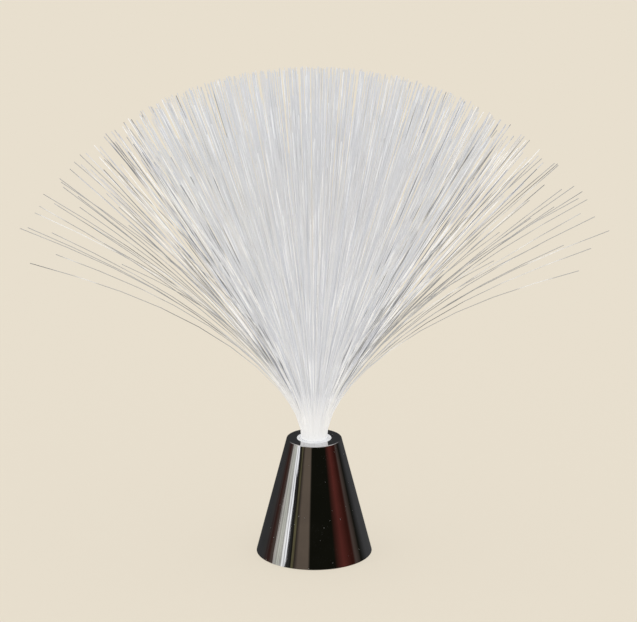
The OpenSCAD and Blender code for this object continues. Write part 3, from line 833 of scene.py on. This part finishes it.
def fibre_piece(name, centres, ahead, number, finish):
    """Fibres as one mesh: at each point of each centre line a small ring of corners at right angles
    to the line, joined by flat sides and closed at both ends. The map gives each corner its fibre's
    own number and its share of the whole fibre's length."""
    count, rings = centres.shape[:2]
    across = np.cross(ahead, (0.0, 1.0, 0.0))
    across /= np.linalg.norm(across, axis=-1, keepdims=True)
    other = np.cross(ahead, across)
    turn = np.linspace(0.0, 2.0 * np.pi, FIBRE_SIDES, endpoint=False)
    ring = (
        across[:, :, None, :] * np.cos(turn)[None, None, :, None]
        + other[:, :, None, :] * np.sin(turn)[None, None, :, None]
    ) * (FIBRE_D / 2.0)
    points = (centres[:, :, None, :] + ring) * MM
    index = np.arange(count * rings * FIBRE_SIDES).reshape(count, rings, FIBRE_SIDES)
    following = np.roll(index, -1, 2)
    sides = np.stack([index[:, :-1], following[:, :-1], following[:, 1:], index[:, 1:]], -1)
    sides = sides.reshape(-1, 4)
    caps = np.concatenate([index[:, -1], index[:, 0, ::-1]])
    corners = np.concatenate([sides.ravel(), caps.ravel()])
    mesh = bpy.data.meshes.new(name)
    mesh.vertices.add(index.size)
    mesh.vertices.foreach_set("co", points.astype(np.float32).ravel())
    mesh.loops.add(len(corners))
    mesh.loops.foreach_set("vertex_index", corners.astype(np.int32))
    mesh.polygons.add(len(sides) + len(caps))
    first = np.concatenate([
        np.arange(len(sides)) * 4,
        len(sides) * 4 + np.arange(len(caps)) * FIBRE_SIDES,
    ])
    mesh.polygons.foreach_set("loop_start", first.astype(np.int32))
    mesh.polygons.foreach_set("use_smooth", np.full(len(first), True))
    mesh.update(calc_edges=True)
    own_map = mesh.uv_layers.new(name="fibre_map")
    up = np.concatenate([[0.0], INSIDE_SHARE + (1.0 - INSIDE_SHARE) * np.array(RING_SHARES)])
    place = np.stack(np.broadcast_arrays(number[:, None, None], up[None, :, None]), -1)
    place = np.broadcast_to(place, (count, rings, FIBRE_SIDES, 2)).reshape(-1, 2)
    own_map.data.foreach_set("uv", place[corners].astype(np.float32).ravel())
    mesh.materials.append(finish)
    mesh.validate()
    piece = bpy.data.objects.new(name, mesh)
    bpy.context.scene.collection.objects.link(piece)
    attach(piece, "spray")
    return piece


def make_spray():
    """All fibres in four pieces: the core, the middle with the front and back, and the outer ones
    and the fringe at both sides, each with its own tone. The outer and fringe ones are painted
    darker, with sharper painted glints, for the shade and highlights of clear fibres at the fan's
    sides. A fibre starts upright at its place in the bundle, which is its share of the bundle's
    radius, and its turn round the middle."""
    chance = np.random.default_rng(CHANCE_SEED)
    out, turn, lean_side, lean_depth, further, length = fan_out(chance)
    pull_side, pull_depth = wisps(lean_side, lean_depth, chance)
    sideways = np.abs(np.cos(turn))
    pull = chance.uniform(0.0, MOST_PULL, FIBRE_COUNT) * (1.0 - out ** LOOSE_POWER) * sideways
    radius = (BUNDLE_R - FIBRE_D / 2.0 - RIM_GAP) * out
    rise = np.full(FIBRE_COUNT, FERRULE_TOP_Z)
    start = np.stack([radius * np.cos(turn), radius * np.sin(turn), rise], 1)
    centres, ahead = run_out(
        start, lean_side, lean_depth, further, length, pull_side, pull_depth, pull
    )
    number = chance.uniform(0.0, 1.0, FIBRE_COUNT)
    # Fibres that lean to the sides take the outer and fringe finishes, with their painted shade and
    # painted glints
    at_side = sideways > SIDE_FROM
    core = out < MIDDLE_FROM
    fringe = at_side & (out >= FRINGE_FROM)
    outer = at_side & (out >= OUTER_FROM) & ~fringe
    middle = ~(core | outer | fringe)
    return [
        fibre_piece(name, centres[group], ahead[group], number[group], FINISHES[finish])
        for name, group, finish in (
            ("fibres_core", core, "fibre_core"),
            ("fibres_middle", middle, "fibre_core"),
            ("fibres_outer", outer, "fibre_outer"),
            ("fibres_fringe", fringe, "fibre_fringe"),
        )
    ]


# The glued bundle from its polished face up, in millimetres: its radius, and its height above the
# face or the ferrule's top
GLUED_R = BUNDLE_R - 0.05
BUNDLE_FACE = ((0.0, 0.0), (8.8, 0.0), (GLUED_R, 0.3))
BUNDLE_DOME = ((GLUED_R, -0.3), (8.7, 0.2), (6.5, 0.9), (3.2, 1.3), (0.0, 1.4))


def make_bundle():
    """The glued lower end of the fibres: a polished face below, a straight side, and a low dome of
    glue between the fibres above, as a profile turned about the vertical axis."""
    profile = [(radius, SEAT_Z + height) for radius, height in BUNDLE_FACE]
    profile += [(radius, FERRULE_TOP_Z + height) for radius, height in BUNDLE_DOME]
    points, faces = turned(profile)
    return put_in_scene("bundle_glue", points, faces, FINISHES["fibre_ends"], "spray")


for piece in make_spray() + [make_bundle()]:
    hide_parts("fibre_spray")


# ---------------------------------------------------------------------------
# Words beside the switch
# ---------------------------------------------------------------------------

# Millimetres: the words' middles from the knob's, their height, how far the letters stand out of
# the plate's lower face, and how far they are set into it
WORD_X = 8.0
WORD_Y = -26.4
WORD_SIZE = 3.6
WORD_RELIEF = 0.2
WORD_SUNK = 0.1


def make_word(word, middle_x):
    """A word in low raised letters that face down, so that it reads from below when the lamp is
    tipped back. The flat letters are made solid, turned half round about the left-to-right axis and
    set a little way into the plate's lower face."""
    letters = bpy.data.curves.new(word, "FONT")
    letters.body = word
    letters.size = WORD_SIZE
    letters.align_x = "CENTER"
    letters.align_y = "CENTER"
    letters.extrude = (WORD_RELIEF + WORD_SUNK) / 2.0
    holder = bpy.data.objects.new(word, letters)
    bpy.context.scene.collection.objects.link(holder)
    bpy.context.view_layer.update()
    finished = holder.evaluated_get(bpy.context.evaluated_depsgraph_get())
    mesh = bpy.data.meshes.new_from_object(finished)
    bpy.data.objects.remove(holder)
    points = np.empty(len(mesh.vertices) * 3)
    mesh.vertices.foreach_get("co", points)
    points = points.reshape(-1, 3) * (1.0, -1.0, -1.0)
    points += (middle_x, WORD_Y, PLATE_FACE_Z + (WORD_SUNK - WORD_RELIEF) / 2.0)
    mesh.vertices.foreach_set("co", (points * MM).ravel())
    mesh.materials.clear()
    mesh.materials.append(FINISHES["print"])
    mesh.update()
    piece = bpy.data.objects.new("word_" + word.lower(), mesh)
    bpy.context.scene.collection.objects.link(piece)
    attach(piece, "base")
    return piece


make_word("ON", WORD_X)
make_word("OFF", -WORD_X)


# ---------------------------------------------------------------------------
# Floor
# ---------------------------------------------------------------------------

# The hole lies hidden under the lamp and lets light reach its underside, for views from below
FLOOR_R = 9000.0
FLOOR_HOLE_R = 38.5


def make_floor():
    """A flat ring on the table's level, facing up."""
    points, faces = turned([(FLOOR_R, 0.0), (FLOOR_HOLE_R, 0.0)])
    return put_in_scene("table_top", points, faces, floor_finish())


make_floor()
